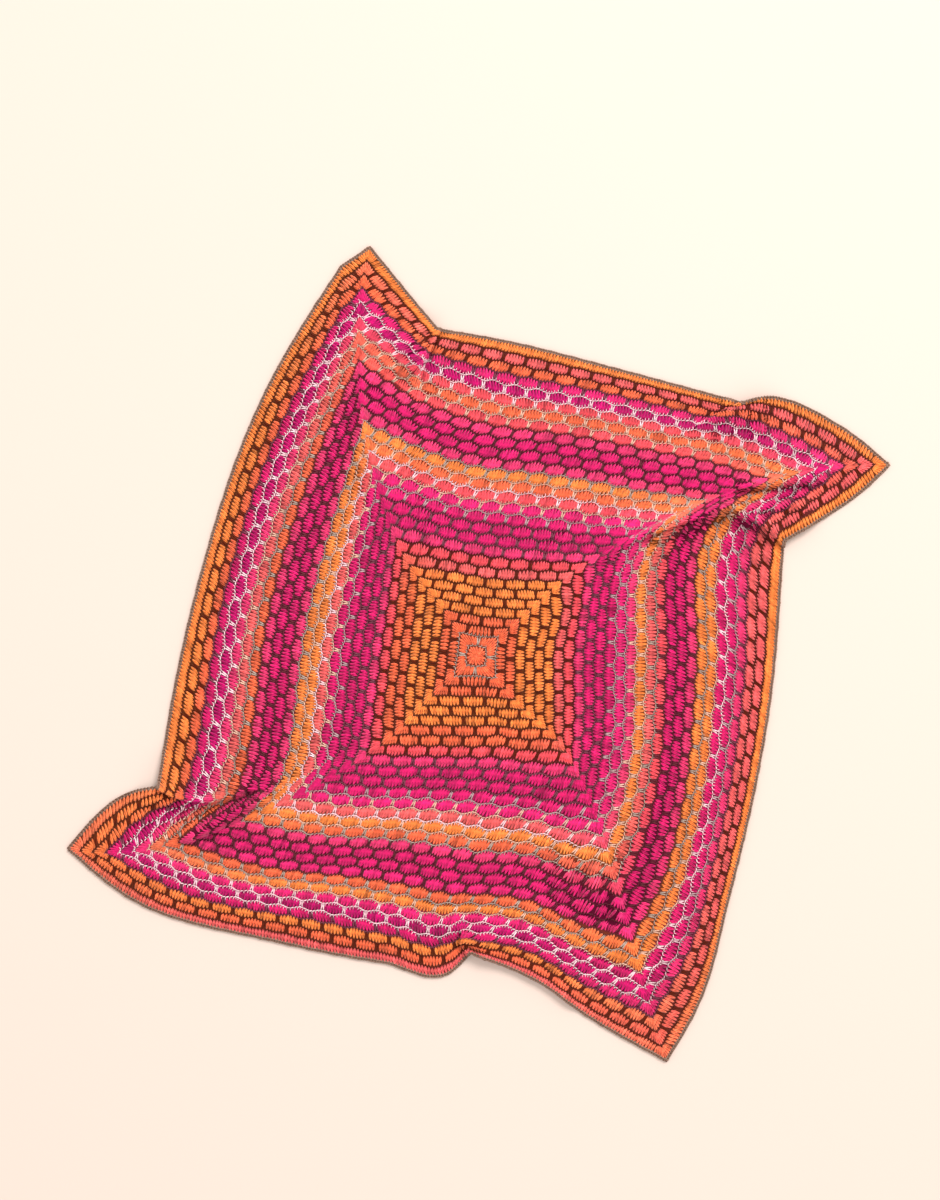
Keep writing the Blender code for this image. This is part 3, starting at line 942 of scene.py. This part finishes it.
# Thin rounds: after each round of blocks the maker works one thin round in a second yarn
# over the block tops, with a long stitch down into each gap. It draws the net of lines.
STITCHES_IN_PITCH = 7
SINGLE_SIZES = [("Stitch length", 0.0054), ("Stitch slant", 0.0011), ("Strand radius", 0.00076),
                ("Leg length", 0.0034), ("Leg radius", 0.00055), ("Leg place", 0.002),
                ("Leg height", 0.0007)]
CHAIN_STEPS = 4
TOP_TAPER = 0.6
LEG_TAPER = 0.5
LEG_START = 0.1
THIN_HIGH = 1.6
LEG_VARIES = 0.12
THIN_VARIES = 0.08
THIN_PLIES = 0.2
THIN_SHEEN = 0.05
FEWEST_STITCHES = 4
LEG_DARK = 0.65
LEG_LIGHT = 1.2
LEG_PALE = 0.6
SPIKE_LENGTH = 0.0075
SPIKE_SIZES = [("Spike length", SPIKE_LENGTH), ("Spike spread", 0.0012), ("Strand radius", 0.00115)]
SPIKE_STEPS = 5
SPIKE_OPENING = 2.0
SPIKE_CLOSED = 0.6
SPIKE_HIGH = 1.25


def single_tree():
    """A single crochet seen from its face: the strand of its top, and the leg beside it that
    shows between the next two posts."""
    tree, given = start_tree("single_crochet", SINGLE_SIZES)
    t = node(tree, "GeometryNodeSplineParameter").outputs["Factor"]
    x = sum_of(tree, "MULTIPLY", sum_of(tree, "SUBTRACT", t, 0.5), given["Stitch length"])
    slant = sum_of(tree, "MULTIPLY", sum_of(tree, "SUBTRACT", t, 0.5), given["Stitch slant"])
    radius = sum_of(tree, "MULTIPLY", swelling(tree, TOP_TAPER), given["Strand radius"])
    top = add_strand(tree, x, slant, 0.0, radius, CHAIN_STEPS)
    y = sum_of(tree, "MULTIPLY", sum_of(tree, "SUBTRACT", t, LEG_START), given["Leg length"])
    radius = sum_of(tree, "MULTIPLY", swelling(tree, LEG_TAPER), given["Leg radius"])
    leg = add_strand(tree, given["Leg place"], y, given["Leg height"], radius, CHAIN_STEPS)
    return end_tree(tree, [top, leg], given)


def spike_tree():
    """A long stitch: two strands that part towards the outside."""
    tree, given = start_tree("long_stitch", SPIKE_SIZES)
    t = node(tree, "GeometryNodeSplineParameter").outputs["Factor"]
    y = sum_of(tree, "MULTIPLY", sum_of(tree, "SUBTRACT", t, 0.5), given["Spike length"])
    open_end = sum_of(tree, "ADD", sum_of(tree, "POWER", t, SPIKE_OPENING), SPIKE_CLOSED)
    spread = sum_of(tree, "MULTIPLY", open_end, given["Spike spread"])
    radius = sum_of(tree, "MULTIPLY", swelling(tree, LEG_TAPER), given["Strand radius"])
    strands = []
    for way in (-1.0, 1.0):
        x = sum_of(tree, "MULTIPLY", spread, way)
        strands.append(add_strand(tree, x, y, 0.0, radius, SPIKE_STEPS))
    return end_tree(tree, strands, given)


def line_places(side, number, pitch):
    """Rounds and turns of the stitches along one side's line."""
    length = float(side_length(number))
    count = max(FEWEST_STITCHES, round(length / pitch))
    offset = ((np.arange(count) + 0.5) / count - 0.5) * length
    to_corner = length / 2.0 - np.abs(offset)
    return number + wave(number, offset, to_corner), at_offset(side, number, offset)


def line_ways(rounds, turns):
    """Points of a line, the way square to it in the cloth, and the way up."""
    points, _, up = lie(rounds, turns)
    ahead = np.gradient(points, axis=0)
    return points, unit(np.cross(up, ahead)), up


def make_thin_rounds(side):
    parts = []
    for number in range(1, ROUNDS):
        rounds, turns = line_places(side, number, BRICK_PITCH / STITCHES_IN_PITCH)
        points, along, up = line_ways(rounds, turns)
        parts.append((points, along, up, np.full(len(turns), number), turns))
    points, along, up, number, turns = [np.concatenate(part) for part in zip(*parts)]
    tint = dye(thin_dyes, number, turns, np.zeros(len(turns)), 0.0, THIN_VARIES)
    leg = LEG_DARK + (LEG_LIGHT - LEG_DARK) * np.clip(tint.mean(axis=1) / LEG_PALE, 0.0, 1.0)
    stretch = np.stack([np.ones(len(turns)), leg * rng.normal(1.0, LEG_VARIES, len(turns)),
                        np.full(len(turns), THIN_HIGH)], axis=1)
    return work_stitches("thin_rounds_" + SIDES[side], single, SINGLE_SIZES, thin_yarn,
                         points, along, up, stretch, tint)


def make_long_stitches():
    rows = []
    for side in range(4):
        for number in range(2, ROUNDS):
            for gap in range(number - 1):
                offset = (gap - (number - 2) / 2.0) * BRICK_PITCH
                to_corner = float(side_length(number)) / 2.0 - abs(offset)
                high = number + wave(number, offset, to_corner)
                low = number - 1 + wave(number - 1, offset, to_corner - BRICK_PITCH / 2.0)
                rows.append((number, low, at_offset(side, number - 1, offset), high,
                             at_offset(side, number, offset)))
    rows = np.array(rows)
    low = lie(rows[:, 1], rows[:, 2])[0]
    high = lie(rows[:, 3], rows[:, 4])[0]
    turns = (rows[:, 2] + rows[:, 4]) / 2.0
    up = lie((rows[:, 1] + rows[:, 3]) / 2.0, turns)[2]
    tall = np.linalg.norm(high - low, axis=1)
    stretch = np.stack([np.ones(len(rows)), tall / SPIKE_LENGTH,
                        np.full(len(rows), SPIKE_HIGH)], axis=1)
    tint = dye(thin_dyes, rows[:, 0].astype(int), turns, np.zeros(len(rows)), 0.0, THIN_VARIES)
    return work_stitches("long_stitches", spike, SPIKE_SIZES, thin_yarn,
                         (low + high) / 2.0, high - low, up, stretch, tint)


thin_yarn = yarn_material("thin_yarn", "tint", 0.0, THIN_PLIES, THIN_SHEEN)
single = single_tree()
spike = spike_tree()
thin_rounds = [make_thin_rounds(side) for side in range(4)]
long_stitches = make_long_stitches()


# Edging: one close round in grey-brown yarn, worked onto the last round of blocks. It is
# the blanket's own hem, with rounder and closer stitches than the thin rounds have.
EDGING_PITCH = 3.3
EDGING_SIZES = [("Stitch length", 0.0056), ("Stitch spread", 0.0018), ("Strand radius", 0.0016)]
CHAIN_OPENING = 0.8
EDGING_HIGH = 1.45
EDGING_WIDTH_VARIES = 0.08
EDGING_VARIES = 0.07


def chain_tree():
    """A chain stitch: two strands that meet ahead and part behind."""
    tree, given = start_tree("chain_stitch", EDGING_SIZES)
    t = node(tree, "GeometryNodeSplineParameter").outputs["Factor"]
    x = sum_of(tree, "MULTIPLY", sum_of(tree, "SUBTRACT", t, 0.5), given["Stitch length"])
    open_end = sum_of(tree, "POWER", sum_of(tree, "SUBTRACT", 1.0, t), CHAIN_OPENING)
    spread = sum_of(tree, "MULTIPLY", open_end, given["Stitch spread"])
    radius = sum_of(tree, "MULTIPLY", swelling(tree, LEG_TAPER), given["Strand radius"])
    strands = []
    for way in (-1.0, 1.0):
        y = sum_of(tree, "MULTIPLY", spread, way)
        strands.append(add_strand(tree, x, y, 0.0, radius, CHAIN_STEPS))
    return end_tree(tree, strands, given)


def make_edging():
    parts = [line_places(side, ROUNDS, EDGING_PITCH) for side in range(4)]
    rounds, turns = [np.concatenate(part) for part in zip(*parts)]
    points, along, up = line_ways(rounds, turns)
    stretch = np.stack([np.ones(len(turns)), rng.normal(1.0, EDGING_WIDTH_VARIES, len(turns)),
                        np.full(len(turns), EDGING_HIGH)], axis=1)
    tint = dye(thin_dyes, np.full(len(turns), ROUNDS), turns, np.zeros(len(turns)), 0.0,
               EDGING_VARIES)
    return work_stitches("edging", chain, EDGING_SIZES, thin_yarn, points, along, up, stretch, tint)


chain = chain_tree()
edging = make_edging()


# The pieces lie as one cloth on the floor and stand for the sheet in the model.
stitches = blocks + thin_rounds + [long_stitches, edging]
for piece in [ground] + stitches:
    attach(piece, "root")
    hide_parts("blanket")
